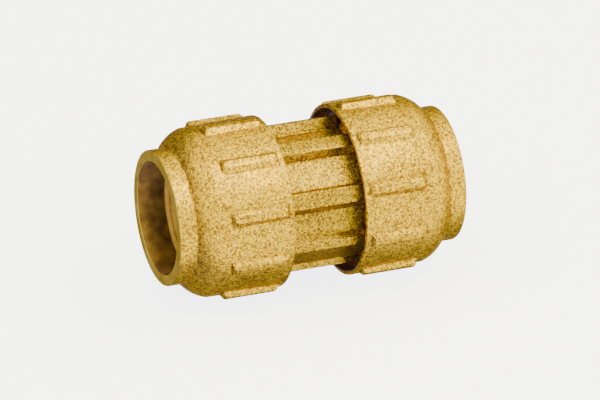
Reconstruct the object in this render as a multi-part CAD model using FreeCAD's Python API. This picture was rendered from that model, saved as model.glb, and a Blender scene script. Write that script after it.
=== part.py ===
# Push fit coupling for plastic pipe: ribbed brass body, a domed nut on each end, and the
# grip, thrust and sealing rings inside.
# X runs along the bore, the origin is the centre of the coupling, Z is up. Millimetres.
# Every ring and nut is drawn for the +X end. The -X end is the same, turned half round Z.

import math
import os

import FreeCAD, Part

Vec = FreeCAD.Vector
ORIGIN = Vec(0, 0, 0)
AXIS = Vec(1, 0, 0)

# Pipe and bores
pipe_r = 16.0
mouth_gap = 0.25
socket_gap = 0.20
ring_gap = 0.15
stop_half_length = 6.0
stop_height = 2.6

# Overall
half_length = 43.1
nut_length = 32.4
rest_gap = 0.05

# Nut, outside
collar_wall = 3.15
collar_length = 5.0
collar_edge = 0.35
dome_length = 5.8
dome_radius = 9.6
barrel_wall = 1.4
barrel_draft_deg = 1.2
nut_rib_count = 10
nut_rib_height = 1.65
nut_rib_land = 2.3
nut_rib_foot = 4.8
nut_rib_sink = 0.6
nut_rib_lip_slope = 1.2
nut_rib_dome_slope = 0.7
nut_rib_lip_gap = 1.3
nut_rib_dome_gap = 3.0
nut_rib_angle = {"right": -3.9, "left": -1.0}

# Nut, inside
mouth_length = 8.15
cone_length = 3.55
cone_rise = 1.5
lip_depth = 3.8
lip_wall = 1.15

# Thread, shared by body and nut
thread_pitch = 2.5
thread_depth = 1.0
thread_root_width = 1.7
thread_flank_deg = 30.0
thread_gap = 0.15
thread_length = 10.5
thread_sink = 0.12

# Body
bar_wall = 0.985
bar_rib_count = 8
bar_rib_height = 2.3
bar_rib_land = 4.6
bar_rib_foot = 5.0
bar_rib_fill = 1.3
bar_rib_crown = 0.9
bar_draw_deg = -24.3
pad_rib = 6
pad_run = 2.5
bar_run_in = 0.6
shoulder_length = 2.4
nose_length = 3.0
nose_drop = 0.1

# Seals and rings
seal_cord = 3.2
backup_thickness = 0.8
thrust_nose_length = 0.75
flange_thickness = 1.4
flange_gap = 0.35
grip_float = 0.75
bite_thickness = 0.5
bite_gap = 0.75
bite_tooth_count = 16
bite_tooth_height = 1.2
grip_wall = 2.5
grip_tooth_count = 3
grip_tooth_height = 0.6
grip_slit = 2.4
grip_wedge_gap = 0.1
nut_seal_cord = 1.2
nut_seal_groove = 1.4
nut_seal_gap = 0.1
nut_seal_wall = 1.175

# Radii, from the pipe outwards
mouth_r = pipe_r + mouth_gap
socket_r = pipe_r + socket_gap
ring_r = pipe_r + ring_gap
seal_bore_r = pipe_r + seal_cord + rest_gap
groove_r = seal_bore_r + nut_seal_wall
nut_seal_r = groove_r + rest_gap / 2 + nut_seal_cord / 2
nut_bore_r = nut_seal_r + nut_seal_cord / 2 + nut_seal_gap
thread_minor_r = nut_bore_r - thread_gap
thread_major_r = thread_minor_r + thread_depth
nut_thread_root_r = thread_major_r + thread_gap
nose_r = thread_minor_r - nose_drop
collar_r = mouth_r + collar_wall
barrel_r = nut_thread_root_r + barrel_wall
nut_rib_r = barrel_r + nut_rib_height
cone_small_r = pipe_r + grip_wall
cone_large_r = cone_small_r + cone_rise
bar_flat_r = socket_r + bar_wall
bar_corner_r = bar_flat_r / math.cos(math.pi / bar_rib_count)
bar_rib_r = bar_corner_r + bar_rib_height

# Places along X, from the mouth inwards
dome_root_x = half_length - collar_length
barrel_x = dome_root_x - dome_length
lip_x = half_length - nut_length
lip_outer_r = barrel_r + (barrel_x - lip_x) * math.tan(math.radians(barrel_draft_deg))
lip_bore_r = lip_outer_r - lip_wall
mouth_x = half_length - mouth_length
cone_x = mouth_x - cone_length
grip_x = mouth_x - rest_gap
bite_x = cone_x - grip_wedge_gap
grip_end_x = bite_x + rest_gap
flange_x = bite_x - bite_thickness - grip_float
body_end_x = flange_x - flange_thickness - rest_gap
backup_x = body_end_x - thrust_nose_length
seal_x = backup_x - backup_thickness - rest_gap
seal_seat_x = seal_x - seal_cord - rest_gap
nut_seal_x = body_end_x - nose_length / 2
thread_end_x = body_end_x - nose_length
thread_start_x = thread_end_x - thread_length
shoulder_x = thread_start_x - shoulder_length
bar_end_x = shoulder_x + bar_run_in
nut_thread_x = lip_x + lip_depth
nut_bore_x = thread_end_x + 2 * thread_gap


def arc_middle(start, end, radius):
    """Middle point of the arc of this radius from start to end that bulges away from the axis."""
    (x0, r0), (x1, r1) = start, end
    chord = math.hypot(x1 - x0, r1 - r0)
    rise = radius - math.sqrt(radius ** 2 - (chord / 2) ** 2)
    away = 1 if x0 > x1 else -1
    out_x, out_r = away * (r1 - r0) / chord, away * (x0 - x1) / chord
    return (x0 + x1) / 2 + out_x * rise, (r0 + r1) / 2 + out_r * rise


def turned(*corners):
    """Solid of revolution about X. A third number in a corner is the radius of the arc into it."""
    edges = []
    for here, corner in zip(corners, corners[1:] + corners[:1]):
        start = Vec(here[0], 0, here[1])
        end = Vec(corner[0], 0, corner[1])
        if len(corner) == 3:
            x, r = arc_middle(here[:2], corner[:2], corner[2])
            edges.append(Part.Arc(start, Vec(x, 0, r), end).toShape())
        else:
            edges.append(Part.LineSegment(start, end).toShape())
    return Part.Face(Part.Wire(edges)).revolve(ORIGIN, AXIS, 360)


def tube(x0, x1, inner_r, outer_r):
    return turned((x0, inner_r), (x1, inner_r), (x1, outer_r), (x0, outer_r))


def o_ring(x_middle, middle_r, cord):
    return Part.makeTorus(middle_r, cord / 2, Vec(x_middle, 0, 0), AXIS)


def round_x(shape, degrees):
    copy = shape.copy()
    copy.rotate(ORIGIN, AXIS, degrees)
    return copy


def other_end(shape):
    copy = shape.copy()
    copy.rotate(ORIGIN, Vec(0, 0, 1), 180)
    return copy


def thread_ridge(x0, length, foot_r, crest_r, foot_width, phase_deg):
    """One turn after another of a right-hand ridge, its angle tied to its place along X."""
    narrowing = abs(crest_r - foot_r) * math.tan(math.radians(thread_flank_deg))
    crest_half = foot_width / 2 - narrowing
    sink = math.copysign(thread_sink, foot_r - crest_r)
    sunk_half = foot_width / 2 + thread_sink * math.tan(math.radians(thread_flank_deg))
    section = Part.makePolygon([
        Vec(foot_r + sink, 0, -sunk_half),
        Vec(crest_r, 0, -crest_half),
        Vec(crest_r, 0, crest_half),
        Vec(foot_r + sink, 0, sunk_half),
        Vec(foot_r + sink, 0, -sunk_half),
    ])
    path = Part.Wire(Part.makeHelix(thread_pitch, length - foot_width, foot_r))
    ridge = path.makePipeShell([section], True, True)
    ridge.rotate(ORIGIN, Vec(0, 1, 0), 90)
    start_x = x0 + foot_width / 2
    ridge.rotate(ORIGIN, AXIS, 360 * start_x / thread_pitch + phase_deg)
    ridge.translate(Vec(start_x, 0, 0))
    return ridge


def nut_rib():
    """Straight rib along the top of the barrel, drafted on both sides and at both ends."""
    foot_r = barrel_r - nut_rib_sink
    lip_end = lip_x + nut_rib_lip_gap
    dome_end = barrel_x - nut_rib_dome_gap
    rise = (barrel_r - foot_r) / nut_rib_height

    def outline(r, width, up):
        x0 = lip_end + up * nut_rib_lip_slope
        x1 = dome_end - up * nut_rib_dome_slope
        corners = [(x0, -1), (x1, -1), (x1, 1), (x0, 1), (x0, -1)]
        return Part.makePolygon([Vec(x, side * width / 2, r) for x, side in corners])

    spread = (nut_rib_foot - nut_rib_land) * rise
    foot = outline(foot_r, nut_rib_foot + spread, -rise)
    land = outline(nut_rib_r, nut_rib_land, 1)
    return Part.makeLoft([foot, land], True, True)


def nut(rib_angle):
    shell = turned(
        (half_length, mouth_r),
        (half_length, collar_r - collar_edge),
        (half_length - collar_edge, collar_r),
        (dome_root_x, collar_r),
        (barrel_x, barrel_r, dome_radius),
        (lip_x, lip_outer_r),
        (lip_x, lip_bore_r),
        (nut_thread_x, lip_bore_r),
        (nut_thread_x, nut_thread_root_r),
        (nut_bore_x, nut_thread_root_r),
        (nut_bore_x, nut_bore_r),
        (cone_x, nut_bore_r),
        (cone_x, cone_large_r),
        (mouth_x, cone_small_r),
        (mouth_x, mouth_r),
    )
    ribs = [round_x(nut_rib(), rib_angle + 360 * k / nut_rib_count) for k in range(nut_rib_count)]
    groove = thread_pitch - thread_root_width
    flank = math.tan(math.radians(thread_flank_deg))
    foot_width = groove + 2 * thread_depth * flank
    foot_width -= 2 * thread_gap * (1 - flank)
    ridge = thread_ridge(nut_thread_x + thread_gap, nut_bore_x - nut_thread_x - 2 * thread_gap,
                         nut_thread_root_r, nut_bore_r, foot_width, 180)
    return shell.fuse(ribs + [ridge]).removeSplitter()


def bar_rib(k):
    """Outline of rib k as (sideways, radius) pairs. Rib 0 points the way the casting leaves its mould."""
    slope = math.tan(math.pi / bar_rib_count)
    half_land, half_foot = bar_rib_land / 2, bar_rib_foot / 2
    # half way to the parting line a rib's far side is filled out, and on the parting line it is crowned
    away = round(math.sin(4 * math.pi * k / bar_rib_count))
    left = half_foot + (bar_rib_fill if away < 0 else 0)
    right = half_foot + (bar_rib_fill if away > 0 else 0)
    parting = k % (bar_rib_count // 2) == bar_rib_count // 4
    edge_r = bar_rib_r - (bar_rib_crown if parting else 0)
    land = [(-half_land, edge_r), (half_land, edge_r)]
    if parting:
        land.insert(1, (0, bar_rib_r))
    return [(-left, bar_corner_r - left * slope), *land, (right, bar_corner_r - right * slope)]


def body_bar():
    """Octagonal bar with a rib on each corner, one closed outline pushed along X."""
    corners = []
    for k in range(bar_rib_count):
        turn = math.radians(bar_draw_deg) + 2 * math.pi * k / bar_rib_count
        for side, r in bar_rib(k):
            y = side * math.cos(turn) + r * math.sin(turn)
            z = r * math.cos(turn) - side * math.sin(turn)
            corners.append(Vec(-bar_end_x, y, z))
    outline = Part.makePolygon(corners + corners[:1])
    return Part.Face(outline).extrude(Vec(2 * bar_end_x, 0, 0))


def marking_pad():
    """Flat pad on the near side of one parting-line rib, level with that rib's crest."""
    half_turn = math.pi / bar_rib_count
    top = bar_rib_r * math.cos(half_turn)
    reach = bar_rib_r * math.sin(half_turn)
    inside = bar_flat_r - bar_wall / 2
    block = Part.makeBox(2 * bar_end_x, pad_run + reach, top - inside, Vec(-bar_end_x, -pad_run, inside))
    return round_x(block, -bar_draw_deg - (pad_rib - 0.5) * 360 / bar_rib_count)


def body_end():
    """Threaded end of the body: shoulder, thread core, and the nose with the nut seal's groove."""
    core = turned(
        (shoulder_x, socket_r),
        (shoulder_x, bar_flat_r),
        (thread_start_x, thread_minor_r),
        (thread_end_x, thread_minor_r),
        (thread_end_x, nose_r),
        (body_end_x, nose_r),
        (body_end_x, socket_r),
    )
    ridge = thread_ridge(thread_start_x, thread_length, thread_minor_r, thread_major_r,
                         thread_root_width, 0)
    return core.fuse(ridge)


def coupling_body():
    solid = body_bar().fuse([marking_pad(), body_end(), other_end(body_end())])
    stop_r = socket_r - stop_height
    bore = tube(stop_half_length, body_end_x + 1, 0, socket_r)
    counterbore = tube(seal_seat_x, body_end_x + 1, 0, seal_bore_r)
    groove = tube(nut_seal_x - nut_seal_groove / 2, nut_seal_x + nut_seal_groove / 2,
                  groove_r, nose_r + 1)
    cuts = [bore, counterbore, groove]
    waterway = tube(-half_length, half_length, 0, stop_r)
    return solid.cut([waterway] + cuts + [other_end(cut) for cut in cuts]).removeSplitter()


def pipe_seal():
    return o_ring(seal_x - seal_cord / 2, pipe_r + seal_cord / 2, seal_cord)


def nut_seal():
    return o_ring(nut_seal_x, nut_seal_r, nut_seal_cord)


def backup_ring():
    return tube(backup_x - backup_thickness, backup_x, ring_r, seal_bore_r - rest_gap)


def thrust_ring():
    """Nose inside the seal's bore, flange in front of the body's end."""
    return turned(
        (backup_x + rest_gap, ring_r),
        (flange_x, ring_r),
        (flange_x, nut_bore_r - flange_gap),
        (flange_x - flange_thickness, nut_bore_r - flange_gap),
        (flange_x - flange_thickness, seal_bore_r - 2 * rest_gap),
        (backup_x + rest_gap, seal_bore_r - 2 * rest_gap),
    )


def bite_ring():
    """Thin washer with a ring of pointed teeth that just clear the pipe."""
    washer = tube(bite_x - bite_thickness, bite_x, 0, nut_bore_r - bite_gap)
    points = []
    for k in range(2 * bite_tooth_count + 1):
        r = pipe_r + (bite_tooth_height if k % 2 else 0)
        turn = math.pi * k / bite_tooth_count
        points.append(Vec(bite_x - bite_thickness - 1, r * math.sin(turn), r * math.cos(turn)))
    return washer.cut(Part.Face(Part.makePolygon(points)).extrude(Vec(bite_thickness + 2, 0, 0)))


def grip_ring():
    """Tapered split ring. Its saw teeth point back along the pipe and just clear it."""
    slope = (cone_large_r - cone_small_r) / cone_length
    small_r = cone_small_r - grip_wedge_gap + slope * rest_gap
    large_r = small_r + slope * (grip_x - grip_end_x)
    pitch = (grip_x - grip_end_x) / grip_tooth_count
    teeth = []
    for k in range(grip_tooth_count):
        teeth.append((grip_end_x + k * pitch, pipe_r))
        teeth.append((grip_end_x + (k + 1) * pitch, pipe_r + grip_tooth_height))
    ring = turned(*teeth, (grip_x, small_r), (grip_end_x, large_r))
    slit_corner = Vec(grip_end_x - 1, -grip_slit / 2, -2 * large_r)
    slit = Part.makeBox(cone_length + 2, grip_slit, 2 * large_r, slit_corner)
    return ring.cut(slit)


rings = {
    "grip_ring": grip_ring,
    "bite_ring": bite_ring,
    "thrust_ring": thrust_ring,
    "backup_ring": backup_ring,
    "pipe_seal": pipe_seal,
    "nut_seal": nut_seal,
}

os.makedirs("parts", exist_ok=True)
solids = {"coupling_body": coupling_body()}
solids["right_nut"] = nut(nut_rib_angle["right"])
solids["left_nut"] = other_end(nut(nut_rib_angle["left"]))
for name, make in rings.items():
    solids["right_" + name] = make()
    solids["left_" + name] = other_end(make())

for node, solid in solids.items():
    solid.exportStep("parts/" + node + ".step")
    print(node, solid.isValid(), len(solid.Solids), round(solid.Volume, 1))
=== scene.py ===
import math

import bmesh
import bpy
from mathutils import Matrix, Vector


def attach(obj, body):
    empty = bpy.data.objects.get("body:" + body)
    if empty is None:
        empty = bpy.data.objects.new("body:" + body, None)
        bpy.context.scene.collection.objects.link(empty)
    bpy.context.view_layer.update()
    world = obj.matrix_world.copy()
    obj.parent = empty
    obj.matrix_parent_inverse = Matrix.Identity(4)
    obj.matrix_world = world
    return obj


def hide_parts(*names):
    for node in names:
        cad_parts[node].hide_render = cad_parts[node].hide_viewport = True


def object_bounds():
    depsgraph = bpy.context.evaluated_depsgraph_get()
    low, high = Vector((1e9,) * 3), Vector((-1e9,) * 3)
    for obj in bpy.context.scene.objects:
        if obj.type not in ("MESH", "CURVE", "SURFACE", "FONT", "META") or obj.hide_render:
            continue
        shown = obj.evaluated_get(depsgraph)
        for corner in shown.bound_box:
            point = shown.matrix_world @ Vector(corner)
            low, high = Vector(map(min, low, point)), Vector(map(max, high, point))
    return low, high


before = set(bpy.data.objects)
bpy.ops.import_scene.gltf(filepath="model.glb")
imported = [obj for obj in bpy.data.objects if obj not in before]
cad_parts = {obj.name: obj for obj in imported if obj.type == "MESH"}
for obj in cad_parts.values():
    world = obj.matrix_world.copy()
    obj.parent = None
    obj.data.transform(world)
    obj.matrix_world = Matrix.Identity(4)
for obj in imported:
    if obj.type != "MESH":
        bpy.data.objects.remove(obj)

cadBox = [list(corner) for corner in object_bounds()]
mm = 0.001
endX = cadBox[1][0]
floorZ = cadBox[0][2]
axis = Vector((1, 0, 0))
near = 0.02 * mm    # what lies this close counts as being at the place
smoothAngle = 32
print("frame loaded, half length", round(endX / mm, 2), "mm")


def clearSelection():
    if bpy.context.object and bpy.context.object.mode != "OBJECT":
        bpy.ops.object.mode_set(mode="OBJECT")
    bpy.ops.object.select_all(action="DESELECT")


def makeActive(piece):
    clearSelection()
    piece.select_set(True)
    bpy.context.view_layer.objects.active = piece


def editMode(kind):
    bpy.ops.object.mode_set(mode="EDIT")
    bpy.ops.mesh.select_mode(type=kind)


def objectMode():
    bpy.ops.object.mode_set(mode="OBJECT")


def pick(piece, kind, wanted):
    # selects the verts, edges or faces for which wanted(...) is true
    editMode({"verts": "VERT", "edges": "EDGE", "faces": "FACE"}[kind])
    bpy.ops.mesh.select_all(action="DESELECT")
    mesh = bmesh.from_edit_mesh(piece.data)
    for part in getattr(mesh, kind):
        if wanted(part):
            part.select_set(True)
    mesh.select_flush_mode()
    bmesh.update_edit_mesh(piece.data)


def radius(point):
    return math.hypot(point.y, point.z)


def middle(part):
    return sum((v.co for v in part.verts), Vector()) / len(part.verts)


def applyPlace(piece):
    makeActive(piece)
    bpy.ops.object.transform_apply(location=True, rotation=True, scale=True)


def copyOf(piece, turn):
    twin = piece.copy()
    twin.data = piece.data.copy()
    bpy.context.collection.objects.link(twin)
    twin.data.transform(turn)
    return twin


def joinAll(pieces, name):
    clearSelection()
    for piece in pieces:
        piece.select_set(True)
    bpy.context.view_layer.objects.active = pieces[0]
    bpy.ops.object.join()
    pieces[0].name = name
    return pieces[0]


def combine(piece, tool, how):
    makeActive(piece)
    cut = piece.modifiers.new("combine", "BOOLEAN")
    cut.object = tool
    cut.operation = how
    cut.solver = "EXACT"
    bpy.ops.object.modifier_apply(modifier=cut.name)
    bpy.data.objects.remove(tool)


def turnedRing(name, outline, sides):
    # a closed ring about X: one circle is extruded from corner to corner, then bridged to itself
    clearSelection()
    x, r = outline[0]
    bpy.ops.mesh.primitive_circle_add(vertices=sides, radius=r, location=(x, 0, 0),
                                      rotation=(0, math.pi / 2, 0))
    ring = bpy.context.object
    ring.name = name
    applyPlace(ring)
    editMode("EDGE")
    bpy.ops.mesh.select_all(action="SELECT")
    for nextX, nextR in outline[1:]:
        bpy.ops.mesh.extrude_edges_move(TRANSFORM_OT_translate={"value": (nextX - x, 0, 0)})
        scale = nextR / r
        bpy.ops.transform.resize(value=(1, scale, scale), center_override=(nextX, 0, 0))
        x, r = nextX, nextR
    bpy.ops.mesh.select_all(action="DESELECT")
    bpy.ops.mesh.select_non_manifold()
    bpy.ops.mesh.bridge_edge_loops()
    bpy.ops.mesh.select_all(action="SELECT")
    bpy.ops.mesh.normals_make_consistent(inside=False)
    objectMode()
    return ring


def softenRing(piece, x, r, width, segments):
    # bevels the edge that runs right round at this place
    def onRing(edge):
        return all(abs(v.co.x - x) < near and abs(radius(v.co) - r) < near for v in edge.verts)
    pick(piece, "edges", onRing)
    bpy.ops.mesh.bevel(offset=width, segments=segments, profile=0.5, affect="EDGES")
    objectMode()


def arcPoints(start, end, bend, steps):
    # points after start on the arc of this radius that bulges away from the axis
    a, b = Vector(start), Vector(end)
    chord = b - a
    away = Vector((-chord.y, chord.x)).normalized()
    if away.y < 0:
        away = -away
    depth = math.sqrt(bend ** 2 - (chord.length / 2) ** 2)
    centre = (a + b) / 2 - away * depth
    first = math.atan2(a.y - centre.y, a.x - centre.x)
    last = math.atan2(b.y - centre.y, b.x - centre.x)
    turns = [first + (last - first) * k / steps for k in range(1, steps + 1)]
    return [(centre.x + bend * math.cos(t), centre.y + bend * math.sin(t)) for t in turns]


def threadRidge(thread, x0, length, footR, crestR, footWidth, phase):
    # right-hand ridge: a four-sided section carried round X by the screw modifier
    narrow = abs(crestR - footR) * math.tan(math.radians(thread["flank"]))
    sink = math.copysign(thread["sink"], footR - crestR)
    startX = x0 + footWidth / 2
    clearSelection()
    bpy.ops.mesh.primitive_plane_add(size=1, location=(startX, 0, (footR + sink + crestR) / 2),
                                     rotation=(math.pi / 2, 0, 0))
    ridge = bpy.context.object
    ridge.scale = (footWidth, abs(crestR - footR - sink), 1)
    applyPlace(ridge)
    pick(ridge, "verts", lambda v: abs(v.co.z - crestR) < near)
    scale = (footWidth - 2 * narrow) / footWidth
    bpy.ops.transform.resize(value=(scale, 1, 1), center_override=(startX, 0, crestR))
    bpy.ops.mesh.select_all(action="SELECT")
    bpy.ops.mesh.delete(type="ONLY_FACE")
    objectMode()
    turns = (length - footWidth) / thread["pitch"]
    screw = ridge.modifiers.new("thread", "SCREW")
    screw.axis = "X"
    screw.angle = 2 * math.pi * turns
    screw.screw_offset = length - footWidth
    screw.steps = screw.render_steps = int(thread["steps"] * turns)
    bpy.ops.object.modifier_apply(modifier=screw.name)
    editMode("EDGE")
    bpy.ops.mesh.select_all(action="DESELECT")
    bpy.ops.mesh.select_non_manifold()
    bpy.ops.mesh.fill_holes(sides=4)
    bpy.ops.mesh.select_all(action="SELECT")
    bpy.ops.mesh.normals_make_consistent(inside=False)
    objectMode()
    ridge.data.transform(Matrix.Rotation(2 * math.pi * startX / thread["pitch"] + phase, 4, axis))
    return ridge


def finishMesh(piece):
    makeActive(piece)
    editMode("VERT")
    bpy.ops.mesh.select_all(action="SELECT")
    bpy.ops.mesh.remove_doubles(threshold=near / 10)
    bpy.ops.mesh.normals_make_consistent(inside=False)
    objectMode()
    bpy.ops.object.shade_smooth_by_angle(angle=math.radians(smoothAngle))


def newMaterial(name):
    material = bpy.data.materials.new(name)
    material.use_nodes = True
    tree = material.node_tree
    shader = tree.nodes["Principled BSDF"]
    place = tree.nodes.new("ShaderNodeTexCoord")
    return material, tree, shader, place.outputs["Object"]


def noise(tree, place, scale, detail=3, rough=0.6, stretch=None):
    if stretch:
        mapping = tree.nodes.new("ShaderNodeMapping")
        mapping.inputs["Scale"].default_value = stretch
        tree.links.new(place, mapping.inputs["Vector"])
        place = mapping.outputs["Vector"]
    texture = tree.nodes.new("ShaderNodeTexNoise")
    texture.inputs["Scale"].default_value = scale
    texture.inputs["Detail"].default_value = detail
    texture.inputs["Roughness"].default_value = rough
    tree.links.new(place, texture.inputs["Vector"])
    return texture.outputs["Fac"]


def grains(tree, place, scale):
    # a chance tone for each grain of sand that the mould printed
    texture = tree.nodes.new("ShaderNodeTexVoronoi")
    texture.inputs["Scale"].default_value = scale
    texture.inputs["Randomness"].default_value = 1
    tree.links.new(place, texture.inputs["Vector"])
    return texture.outputs["Color"]


def ramp(tree, source, stops):
    colours = tree.nodes.new("ShaderNodeValToRGB")
    band = colours.color_ramp
    for _ in range(len(stops) - 2):
        band.elements.new(0.5)
    for element, (position, colour) in zip(band.elements, stops):
        element.position = position
        element.color = (*colour, 1)
    tree.links.new(source, colours.inputs["Fac"])
    return colours.outputs["Color"]


def mixed(tree, how, factor, first, second):
    mix = tree.nodes.new("ShaderNodeMix")
    mix.data_type = "RGBA"
    mix.blend_type = how
    for socketName, value in (("Factor", factor), ("A", first), ("B", second)):
        if isinstance(value, bpy.types.NodeSocket):
            tree.links.new(value, mix.inputs[socketName])
        else:
            mix.inputs[socketName].default_value = value
    return mix.outputs["Result"]


def spread(tree, source, low, high):
    # stretches a pattern to run from low to high
    mapRange = tree.nodes.new("ShaderNodeMapRange")
    mapRange.inputs["From Min"].default_value = 0.3
    mapRange.inputs["From Max"].default_value = 0.7
    mapRange.inputs["To Min"].default_value = low
    mapRange.inputs["To Max"].default_value = high
    tree.links.new(source, mapRange.inputs["Value"])
    return mapRange.outputs["Result"]


def bumps(tree, shader, layers):
    # each layer is a height pattern, its strength and its depth; they stack on one another
    normal = None
    for height, strength, depth in layers:
        bump = tree.nodes.new("ShaderNodeBump")
        bump.inputs["Strength"].default_value = strength
        bump.inputs["Distance"].default_value = depth
        tree.links.new(height, bump.inputs["Height"])
        if normal:
            tree.links.new(normal, bump.inputs["Normal"])
        normal = bump.outputs["Normal"]
    tree.links.new(normal, shader.inputs["Normal"])


castLook = {
    "pale": (0.97, 0.62, 0.030),
    "gold": (0.70, 0.41, 0.026),
    "brown": (0.30, 0.165, 0.025),
    "grain": 2300,
    "grainSteps": (0.24, 0.47, 0.66),
    # each layer darkens by its tint where its pattern is below start, and not at all above stop
    "speck": {"scale": 2100, "detail": 2, "blur": 0.6, "tint": (0.46, 0.44, 0.46),
              "start": 0.36, "stop": 0.52, "amount": 0.9},
    "cloud": {"scale": 520, "detail": 4, "blur": 0.6, "tint": (0.76, 0.74, 0.76),
              "start": 0.35, "stop": 0.60, "amount": 0.7},
    "stain": {"scale": 75, "detail": 3, "blur": 0.5, "tint": (0.84, 0.82, 0.84),
              "start": 0.35, "stop": 0.60, "amount": 0.6},
    # painted shade in the inner corners, taken from the piece's own occlusion
    "crevice": {"reach": 1.1 * mm, "tint": (0.22, 0.18, 0.18), "start": 0.66, "stop": 0.93},
    "edgeTint": (0.95, 0.74, 0.16),
    "metal": 0.95,
    "rough": (0.30, 0.44),
    "waves": (0.3, 0.2 * mm),    # strength and depth
    "pits": (0.7, 0.08 * mm),
}
white = (1, 1, 1)


def creviceShade(tree, reach):
    # painted shade: darkens only this piece's own sharp inner corners
    corner = tree.nodes.new("ShaderNodeAmbientOcclusion")
    corner.samples = 8
    corner.only_local = True
    corner.inputs["Distance"].default_value = reach
    return corner.outputs["AO"]


def castBrass(name, paintedShadeTint):
    # sand-cast skin: bright and brown grains, slow changes of tone, shallow pits, painted shade in the
    # corners
    look = castLook
    material, tree, shader, place = newMaterial(name)
    tones = [look[tone] for tone in ("brown", "gold", "pale")]
    colour = ramp(tree, grains(tree, place, look["grain"]), list(zip(look["grainSteps"], tones)))
    patterns = {}
    for layerName in ("speck", "cloud", "stain"):
        layer = look[layerName]
        pattern = noise(tree, place, layer["scale"], layer["detail"], layer["blur"])
        veil = ramp(tree, pattern, [(layer["start"], layer["tint"]), (layer["stop"], white)])
        colour = mixed(tree, "MULTIPLY", layer["amount"], colour, veil)
        patterns[layerName] = pattern
    paintedCreviceShade = look["crevice"]
    corner = creviceShade(tree, paintedCreviceShade["reach"])
    corner = ramp(tree, corner, [(paintedCreviceShade["start"], paintedCreviceShade["tint"]), (paintedCreviceShade["stop"], white)])
    # painted shade: the inner corners are multiplied darker by the crevice tint
    colour = mixed(tree, "MULTIPLY", 1.0, colour, corner)
    # painted shade: the whole material is multiplied by this tint
    colour = mixed(tree, "MULTIPLY", 1.0, colour, (*paintedShadeTint, 1))
    tree.links.new(colour, shader.inputs["Base Color"])
    shader.inputs["Metallic"].default_value = look["metal"]
    shader.inputs["Specular Tint"].default_value = (*look["edgeTint"], 1)
    tree.links.new(spread(tree, patterns["cloud"], *look["rough"]), shader.inputs["Roughness"])
    bumps(tree, shader, [(patterns["cloud"], *look["waves"]), (patterns["speck"], *look["pits"])])
    return material


turnedLooks = {
    # the turned faces are clean metal; the unlit bores get a dark brown that is painted shade
    "machinedBrass": {
        "light": (0.98, 0.72, 0.09), "dark": (0.93, 0.62, 0.06), "steps": (0.35, 0.62),
        "cloud": 220, "blur": 0.5, "edgeTint": (0.98, 0.78, 0.20), "metal": 1.0,
        "rough": (0.36, 0.50), "ring": 5200, "rings": (0.8, 0.08 * mm),
    },
    "shadedBoreBrass": {
        "light": (0.32, 0.18, 0.070), "dark": (0.17, 0.09, 0.040), "steps": (0.36, 0.62),
        "cloud": 260, "blur": 0.55, "edgeTint": white, "metal": 0.85,
        "rough": (0.38, 0.55), "ring": 5200, "rings": (0.3, 0.04 * mm),
    },
}


def turnedBrassMaterial(name):
    # fine rings about the axis over slow changes of tone
    look = turnedLooks[name]
    material, tree, shader, place = newMaterial(name)
    lines = noise(tree, place, look["ring"], 2, 0.5, (1, 0.04, 0.04))    # drawn out round the axis
    tone = noise(tree, place, look["cloud"], 3, look["blur"])
    colour = ramp(tree, tone, list(zip(look["steps"], (look["dark"], look["light"]))))
    tree.links.new(colour, shader.inputs["Base Color"])
    shader.inputs["Metallic"].default_value = look["metal"]
    shader.inputs["Specular Tint"].default_value = (*look["edgeTint"], 1)
    tree.links.new(spread(tree, tone, *look["rough"]), shader.inputs["Roughness"])
    bumps(tree, shader, [(lines, *look["rings"])])
    return material


plainLooks = {
    "nylon": {"light": (0.055, 0.058, 0.062), "dark": (0.035, 0.037, 0.040),
              "rough": (0.42, 0.58), "grain": 1800, "depth": 0.02 * mm, "metal": 0},
    "stainless": {"light": (0.74, 0.73, 0.71), "dark": (0.58, 0.57, 0.55),
                  "rough": (0.24, 0.38), "grain": 5200, "depth": 0.01 * mm, "metal": 1},
    "rubber": {"light": (0.030, 0.029, 0.028), "dark": (0.014, 0.014, 0.014),
               "rough": (0.50, 0.68), "grain": 2600, "depth": 0.02 * mm, "metal": 0},
    "cloud": 160,
    "steps": (0.38, 0.60),
    "grainStrength": 0.4,
}


def plainMaterial(name):
    look = plainLooks[name]
    material, tree, shader, place = newMaterial(name)
    grain = noise(tree, place, look["grain"])
    tone = noise(tree, place, plainLooks["cloud"], 3, 0.5)
    colour = ramp(tree, tone, list(zip(plainLooks["steps"], (look["dark"], look["light"]))))
    tree.links.new(colour, shader.inputs["Base Color"])
    tree.links.new(spread(tree, grain, *look["rough"]), shader.inputs["Roughness"])
    shader.inputs["Metallic"].default_value = look["metal"]
    bumps(tree, shader, [(grain, plainLooks["grainStrength"], look["depth"])])
    return material


nutBrass = castBrass("nutBrass", (1, 1, 1))
# the body's copy is darkened: painted shade for the body lying in the nuts' shade
bodyBrass = castBrass("bodyBrass", (0.68, 0.70, 0.95))
turnedBrass = turnedBrassMaterial("machinedBrass")
paintedShadeBrass = turnedBrassMaterial("shadedBoreBrass")
print("materials made")


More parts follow.
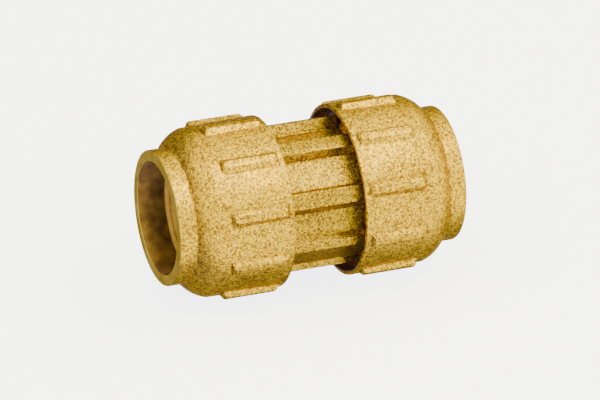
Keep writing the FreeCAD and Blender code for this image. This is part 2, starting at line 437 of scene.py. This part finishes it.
nutShape = {
    "sides": 360,
    "mouthR": 16.25 * mm,
    "collarR": 19.4 * mm,
    "collarLength": 5.0 * mm,
    "domeLength": 5.8 * mm,
    "barrelR": 24.15 * mm,
    "domeBend": 9.6 * mm,
    "domeSteps": 14,
    "lipR": 24.6 * mm,
    "length": 32.4 * mm,
    "lipWall": 1.15 * mm,
    "threadX": 14.5 * mm,
    "boreX": 25.9 * mm,
    "boreR": 21.75 * mm,
    "threadR": 22.75 * mm,
    "coneX": 31.4 * mm,
    "coneR": 20.0 * mm,
    "throatX": 34.95 * mm,
    "throatR": 18.5 * mm,
    "ribCount": 10,
    "ribHeight": 1.65 * mm,
    "ribSink": 0.9 * mm,
    "ribLand": 2.3 * mm,
    "ribFoot": 4.8 * mm,
    "ribLipGap": 1.3 * mm,
    "ribDomeGap": 3.0 * mm,
    "ribLipSlope": 1.2 * mm,
    "ribDomeSlope": 0.7 * mm,
    "ribCorner": 0.9 * mm,
    "ribEdge": 0.28 * mm,
    "rimEdge": 0.35 * mm,
    "mouthEdge": 0.18 * mm,
    "lipEdge": 0.30 * mm,
    "innerEdge": 0.15 * mm,
    "rimDepth": 0.12 * mm,
    "slant": 0.3,    # a face that leans further than this looks outwards or inwards
}
nutAngles = {"right": -3.9, "left": -1.0}    # degrees from straight up to the nearest rib
threadShape = {
    "pitch": 2.5 * mm,
    "flank": 30,
    "foot": 1.7 * mm,    # width of the body's ridge at its foot
    "endGap": 0.15 * mm,
    "sideGap": 0.126 * mm,
    "sink": 0.12 * mm,
    "steps": 90,
}


def nutRib(shape):
    # a block narrowed towards its top, with rounded corners at the dome end and softened edges
    lipX = endX - shape["length"] + shape["ribLipGap"]
    domeX = endX - shape["collarLength"] - shape["domeLength"] - shape["ribDomeGap"]
    footR = shape["barrelR"] - shape["ribSink"]
    topR = shape["barrelR"] + shape["ribHeight"]
    share = (topR - footR) / shape["ribHeight"]
    foot = shape["ribLand"] + (shape["ribFoot"] - shape["ribLand"]) * share
    lowX = lipX + shape["ribLipSlope"] * (1 - share)
    highX = domeX - shape["ribDomeSlope"] * (1 - share)
    clearSelection()
    bpy.ops.mesh.primitive_cube_add(size=1, location=((lowX + highX) / 2, 0, (footR + topR) / 2))
    rib = bpy.context.object
    rib.scale = (highX - lowX, foot, topR - footR)
    applyPlace(rib)
    pick(rib, "faces", lambda f: f.normal.z > 0.9)
    bpy.ops.transform.resize(value=(1, shape["ribLand"] / foot, 1), center_override=(lowX, 0, topR))
    lowTopX, highTopX = lipX + shape["ribLipSlope"], domeX - shape["ribDomeSlope"]
    for footX, topX in ((lowX, lowTopX), (highX, highTopX)):
        pick(rib, "edges", lambda e: all(abs(v.co.x - footX) < near and v.co.z > topR - near
                                         for v in e.verts))
        bpy.ops.transform.translate(value=(topX - footX, 0, 0))

    def atDomeEnd(edge):
        upright = abs(edge.verts[0].co.z - edge.verts[1].co.z) > (topR - footR) / 2
        return upright and middle(edge).x > (lowX + highX) / 2
    pick(rib, "edges", atDomeEnd)
    bpy.ops.mesh.bevel(offset=shape["ribCorner"], segments=5, affect="EDGES")
    pick(rib, "edges", lambda e: all(v.co.z > topR - near for v in e.verts))
    bpy.ops.mesh.bevel(offset=shape["ribEdge"], segments=3, affect="EDGES")
    objectMode()
    return rib


def nutCasting(shape):
    # the shell with its first rib straight up; both nuts are turned copies of it
    lipX = endX - shape["length"]
    rootX = endX - shape["collarLength"]
    barrelX = rootX - shape["domeLength"]
    lipBoreR = shape["lipR"] - shape["lipWall"]
    dome = arcPoints((rootX, shape["collarR"]), (barrelX, shape["barrelR"]), shape["domeBend"],
                     shape["domeSteps"])
    outline = [(endX, shape["mouthR"]), (endX, shape["collarR"]), (rootX, shape["collarR"]), *dome,
               (lipX, shape["lipR"]), (lipX, lipBoreR), (shape["threadX"], lipBoreR),
               (shape["threadX"], shape["threadR"]), (shape["boreX"], shape["threadR"]),
               (shape["boreX"], shape["boreR"]), (shape["coneX"], shape["boreR"]),
               (shape["coneX"], shape["coneR"]), (shape["throatX"], shape["throatR"]),
               (shape["throatX"], shape["mouthR"])]
    nut = turnedRing("nutCasting", outline, shape["sides"])
    softenRing(nut, endX, shape["collarR"], shape["rimEdge"], 4)
    softenRing(nut, endX, shape["mouthR"], shape["mouthEdge"], 3)
    softenRing(nut, rootX, shape["collarR"], shape["rimEdge"], 3)
    softenRing(nut, lipX, shape["lipR"], shape["lipEdge"], 3)
    softenRing(nut, lipX, lipBoreR, shape["innerEdge"], 2)
    softenRing(nut, shape["throatX"], shape["mouthR"], shape["innerEdge"], 2)
    rib = nutRib(shape)
    step = 2 * math.pi / shape["ribCount"]
    ribs = [copyOf(rib, Matrix.Rotation(k * step, 4, axis)) for k in range(shape["ribCount"])]
    bpy.data.objects.remove(rib)
    combine(nut, joinAll(ribs, "ribs"), "UNION")
    return nut


def makeNut(name, casting, ribAngle, shape, thread):
    nut = copyOf(casting, Matrix.Rotation(math.radians(ribAngle), 4, axis))
    nut.name = name
    gap = thread["endGap"]
    height = shape["threadR"] - shape["boreR"]
    bodyCrest = thread["foot"] - 2 * height * math.tan(math.radians(thread["flank"]))
    footWidth = thread["pitch"] - bodyCrest - thread["sideGap"]
    ridge = threadRidge(thread, shape["threadX"] + gap, shape["boreX"] - shape["threadX"] - 2 * gap,
                        shape["threadR"], shape["boreR"], footWidth, math.pi)
    combine(nut, ridge, "UNION")
    finishMesh(nut)
    nut.data.materials.clear()
    for material in (nutBrass, turnedBrass, paintedShadeBrass):
        nut.data.materials.append(material)
    slant = shape["slant"]
    firstX, lastX = shape["threadX"] - 5 * near, shape["throatX"] + 5 * near
    for face in nut.data.polygons:
        outwards = Vector((0, face.center.y, face.center.z)).normalized()
        facing = face.normal.dot(outwards)
        rim = face.center.x > endX - shape["rimDepth"]
        step = abs(facing) < slant and firstX < face.center.x < lastX    # the steps across the bore
        # faces looking inwards and the bore's steps get the dark bore brass: painted shade inside the
        # nut
        face.material_index = 1 if rim else 2 if facing < -slant or step else 0
    return nut


halfTurn = Matrix.Rotation(math.pi, 4, "Z")
casting = nutCasting(nutShape)
for side in ("right", "left"):
    nut = makeNut(side + "Nut", casting, nutAngles[side], nutShape, threadShape)
    if side == "left":
        nut.data.transform(halfTurn)
    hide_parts(side + "_nut")
    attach(nut, side + "_nut_shell")
bpy.data.objects.remove(casting)
print("nuts made")


bodyShape = {
    "barCorners": 8,
    "barCornerR": 18.6 * mm,
    "barEndX": 13.3 * mm,
    "ribTopR": 20.9 * mm,
    "ribLand": 4.6 * mm,
    "ribFoot": 5.0 * mm,
    "ribFill": 1.3 * mm,
    "ribCrown": 0.9 * mm,
    "ribEdge": 0.22 * mm,
    "drawTurn": 24.3,    # degrees from straight up to the side that left the mould first
    "padRib": 6,
    "padRun": 2.5 * mm,
    "shoulderX": 12.7 * mm,
    "shoulderR": 17.1 * mm,
    "threadX": 15.1 * mm,
    "threadEndX": 25.6 * mm,
    "endX": 28.6 * mm,
    "minorR": 21.6 * mm,
    "majorR": 22.6 * mm,
    "noseR": 21.5 * mm,
    "grooveX": (26.4 * mm, 27.8 * mm),
    "grooveR": 20.425 * mm,
    "sealSeatX": 23.75 * mm,
    "sealR": 19.25 * mm,
    "socketR": 16.2 * mm,
    "stopX": 6.0 * mm,
    "stopR": 13.6 * mm,
    "coreR": 12 * mm,
    "coreX": 8 * mm,
    "boreEyeR": 1 * mm,    # the boring tool is a ring, so it is hollow this far from the axis
    "borePast": 1 * mm,
    "noseEdge": 0.3 * mm,
    "threadEdge": 0.4 * mm,
    "castRun": 0.3 * mm,
    "sides": 240,
}


def bodyBar(shape):
    # octagonal prism with a corner straight up; each long corner is flattened, then drawn out into a rib
    clearSelection()
    bpy.ops.mesh.primitive_cylinder_add(vertices=shape["barCorners"], radius=shape["barCornerR"],
                                        depth=2 * shape["barEndX"], rotation=(0, math.pi / 2, 0))
    bar = bpy.context.object
    applyPlace(bar)
    half = math.pi / shape["barCorners"]
    footHalf, landHalf = shape["ribFoot"] / 2, shape["ribLand"] / 2
    pick(bar, "edges", lambda e: abs(e.verts[0].co.x - e.verts[1].co.x) > shape["barEndX"])
    bpy.ops.mesh.bevel(offset=footHalf / math.cos(half), segments=1, affect="EDGES")
    flatR = shape["barCornerR"] - footHalf * math.tan(half)

    def isRib(face):
        steps = math.atan2(middle(face).y, middle(face).z) / half / 2
        return abs(face.normal.x) < 0.1 and abs(steps - round(steps)) < 0.1
    pick(bar, "faces", isRib)
    bpy.ops.mesh.inset(thickness=footHalf - landHalf, use_individual=True)
    bpy.ops.transform.shrink_fatten(value=shape["ribTopR"] - flatR)

    for k in range(shape["barCorners"]):
        turn = 2 * half * k
        up = Vector((0, math.sin(turn), math.cos(turn)))
        aside = Vector((0, math.cos(turn), -math.sin(turn)))
        away = round(math.sin(2 * turn))
        if away:    # the side that would catch in the mould is filled out along the flat
            pick(bar, "edges", lambda e: all(abs(v.co.dot(aside) - away * footHalf) < near
                                             and abs(v.co.dot(up) - flatR) < near for v in e.verts))
            slide = (aside * away - up * math.tan(half)) * shape["ribFill"]
            bpy.ops.transform.translate(value=slide)
        if abs(up.z) < 0.01:    # on the parting line the land is crowned
            pick(bar, "faces", lambda f: middle(f).dot(up) > shape["ribTopR"] - near)
            bpy.ops.mesh.bisect(plane_co=(0, 0, 0), plane_no=aside)
            pick(bar, "edges", lambda e: all(v.co.dot(up) > shape["ribTopR"] - near
                                             and abs(v.co.dot(aside)) > landHalf - near
                                             for v in e.verts))
            bpy.ops.transform.translate(value=-up * shape["ribCrown"])
    objectMode()
    bar.data.transform(Matrix.Rotation(math.radians(shape["drawTurn"]), 4, axis))
    return bar


def markingPad(shape):
    # a plain flat pad beside one rib, level with the rib's crest
    half = math.pi / shape["barCorners"]
    top, reach = shape["ribTopR"] * math.cos(half), shape["ribTopR"] * math.sin(half)
    low = shape["shoulderR"] - 0.5 * mm
    clearSelection()
    bpy.ops.mesh.primitive_cube_add(size=1, location=(0, (reach - shape["padRun"]) / 2, (top + low) / 2))
    pad = bpy.context.object
    pad.scale = (2 * shape["barEndX"] - shape["ribEdge"], reach + shape["padRun"], top - low)
    applyPlace(pad)
    pick(pad, "edges", lambda e: all(v.co.z > top - near and v.co.y < 0 for v in e.verts))
    bpy.ops.mesh.bevel(offset=shape["ribEdge"], segments=3, affect="EDGES")
    objectMode()
    turn = math.radians(shape["drawTurn"]) - (2 * shape["padRib"] - 1) * half
    pad.data.transform(Matrix.Rotation(turn, 4, axis))
    return pad


def bodyEnd(shape, thread):
    # shoulder, thread and the nose with the nut seal's groove
    near, far = shape["grooveX"]
    core, nose, groove = shape["coreR"], shape["noseR"], shape["grooveR"]
    outline = [(shape["coreX"], core), (shape["coreX"], shape["shoulderR"]),
               (shape["shoulderX"], shape["shoulderR"]),
               (shape["threadX"], shape["minorR"]), (shape["threadEndX"], shape["minorR"]),
               (shape["threadEndX"], nose), (near, nose), (near, groove), (far, groove), (far, nose),
               (shape["endX"], nose), (shape["endX"], core)]
    end = turnedRing("bodyEnd", outline, shape["sides"])
    softenRing(end, shape["endX"], nose, shape["noseEdge"], 2)
    softenRing(end, shape["threadX"], shape["minorR"], shape["threadEdge"], 3)
    ridge = threadRidge(thread, shape["threadX"], shape["threadEndX"] - shape["threadX"],
                        shape["minorR"], shape["majorR"], thread["foot"], 0)
    combine(end, ridge, "UNION")
    return end


def bodyBore(shape):
    # everything that is bored out: the seal seats, the pipe sockets and the narrower stop between them
    past = shape["endX"] + shape["borePast"]
    half = [(shape["stopX"], shape["stopR"]), (shape["stopX"], shape["socketR"]),
            (shape["sealSeatX"], shape["socketR"]), (shape["sealSeatX"], shape["sealR"]),
            (past, shape["sealR"]), (past, shape["boreEyeR"])]
    return turnedRing("bore", [(-x, r) for x, r in reversed(half)] + half, shape["sides"])


def makeBody(shape, thread):
    bar = bodyBar(shape)
    makeActive(bar)
    soft = bar.modifiers.new("soft", "BEVEL")
    soft.width = shape["ribEdge"]
    soft.segments = 3
    soft.limit_method = "ANGLE"
    soft.angle_limit = math.radians(30)
    bpy.ops.object.modifier_apply(modifier=soft.name)
    combine(bar, markingPad(shape), "UNION")
    rightEnd = bodyEnd(shape, thread)
    leftEnd = copyOf(rightEnd, halfTurn)
    combine(bar, rightEnd, "UNION")
    combine(bar, leftEnd, "UNION")
    combine(bar, bodyBore(shape), "DIFFERENCE")
    pick(bar, "faces", lambda f: radius(middle(f)) < 2 * shape["boreEyeR"])    # the rod left on the axis
    bpy.ops.mesh.delete(type="FACE")
    objectMode()
    bar.name = "couplingBody"
    finishMesh(bar)
    bar.data.materials.clear()
    for material in (bodyBrass, turnedBrass, paintedShadeBrass):
        bar.data.materials.append(material)
    for face in bar.data.polygons:
        # bored faces get the dark bore brass: painted shade inside the body
        bored = radius(face.center) < shape["socketR"] + 2.5 * near
        threaded = abs(face.center.x) > shape["threadX"] + shape["castRun"]
        face.material_index = 2 if bored else 1 if threaded else 0
    return bar


body = makeBody(bodyShape, threadShape)
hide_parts("coupling_body")
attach(body, "coupling")
print("body made")


# the rings inside keep their shape and get their own finish; the grip ring gets the dark bore brass,
# painted shade for a ring deep inside the nut
ringFinish = {"grip_ring": "paintedShadeBrass", "bite_ring": "stainless", "thrust_ring": "nylon",
              "backup_ring": "nylon", "pipe_seal": "rubber", "nut_seal": "rubber"}
finishes = {name: plainMaterial(name) for name in ("nylon", "stainless", "rubber")}
finishes["paintedShadeBrass"] = paintedShadeBrass
for name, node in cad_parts.items():
    kind = name.split("_", 1)[1]
    if kind in ringFinish:
        node.data.materials.clear()
        node.data.materials.append(finishes[ringFinish[kind]])
print("rings finished")


studio = {
    "floorSize": 6.0,
    "floorTone": (0.60, 0.60, 0.66),
    "floorRough": 0.9,
    "floorGlow": (4.3, 4.35, 4.75),
    "backdrop": (1.0, 1.0, 1.0),
    "brightSide": (0.20, -0.76, 0.61),
    "shadow": (0.28, 0.28, 1.30),
    "light": (2.75, 2.65, 0.75),
    "seen": 4.0,
    "glowFrom": -0.40,
    "glowTo": 0.25,
    "keyPlace": (0.30, -0.45, 1.10),
    "keySize": 0.8,
    "keyPower": 9,
    "keyColour": (1.0, 0.92, 0.45),
}


def areaLight(name, place, size, power):
    clearSelection()
    bpy.ops.object.light_add(type="AREA", location=place)
    light = bpy.context.object
    light.name = name
    light.data.size = size
    light.data.energy = power
    light.rotation_euler = (-Vector(place)).to_track_quat("-Z", "Y").to_euler()
    return light


def makeStudio(look):
    clearSelection()
    bpy.ops.mesh.primitive_plane_add(size=look["floorSize"], location=(0, 0, floorZ))
    floor = bpy.context.object
    floor.name = "floor"
    material, _, shader, _ = newMaterial("paleFloor")
    shader.inputs["Base Color"].default_value = (*look["floorTone"], 1)
    shader.inputs["Roughness"].default_value = look["floorRough"]
    shader.inputs["Emission Color"].default_value = (*look["floorGlow"], 1)
    shader.inputs["Emission Strength"].default_value = 1
    floor.data.materials.append(material)
    floor.visible_glossy = False    # the brass mirrors the room, not its own shadow
    world = bpy.context.scene.world or bpy.data.worlds.new("world")
    bpy.context.scene.world = world
    world.use_nodes = True
    tree = world.node_tree
    back = tree.nodes["Background"]
    # the room is bright in front and above, and falls away behind and below
    way = tree.nodes.new("ShaderNodeTexCoord")
    side = tree.nodes.new("ShaderNodeVectorMath")
    side.operation = "DOT_PRODUCT"
    side.inputs[1].default_value = look["brightSide"]
    tree.links.new(way.outputs["Generated"], side.inputs[0])
    glow = tree.nodes.new("ShaderNodeMapRange")
    glow.interpolation_type = "SMOOTHSTEP"
    glow.inputs["From Min"].default_value = look["glowFrom"]
    glow.inputs["From Max"].default_value = look["glowTo"]
    tree.links.new(side.outputs["Value"], glow.inputs["Value"])
    room = mixed(tree, "MIX", glow.outputs["Result"], (*look["shadow"], 1), (*look["light"], 1))
    path = tree.nodes.new("ShaderNodeLightPath")
    seen = tuple(tone * look["seen"] for tone in look["backdrop"])
    sky = mixed(tree, "MIX", path.outputs["Is Camera Ray"], room, (*seen, 1))
    tree.links.new(sky, back.inputs["Color"])
    key = areaLight("keyLight", look["keyPlace"], look["keySize"], look["keyPower"])
    key.data.color = look["keyColour"]


makeStudio(studio)

cameraView = {
    "azimuth": -21.26,
    "elevation": 24.6,
    "distance": 1.6626,
    "lens": 352.4,
    "sensor": 36,
    "farthest": 20,
    "drop": 1.36 * mm,
}


def makeCamera(view):
    turn, tilt = math.radians(view["azimuth"]), math.radians(view["elevation"])
    back = Vector((math.sin(turn) * math.cos(tilt), -math.cos(turn) * math.cos(tilt), math.sin(tilt)))
    right = Vector((math.cos(turn), math.sin(turn), 0))
    up = back.cross(right)
    bpy.ops.object.camera_add(location=back * view["distance"] - up * view["drop"])
    camera = bpy.context.object
    facing = Matrix((right, up, back)).transposed().to_4x4()
    camera.matrix_world = Matrix.Translation(camera.location) @ facing
    camera.data.lens = view["lens"]
    camera.data.sensor_width = view["sensor"]
    camera.data.clip_end = view["farthest"]
    bpy.context.scene.camera = camera


makeCamera(cameraView)
print("studio and camera set")
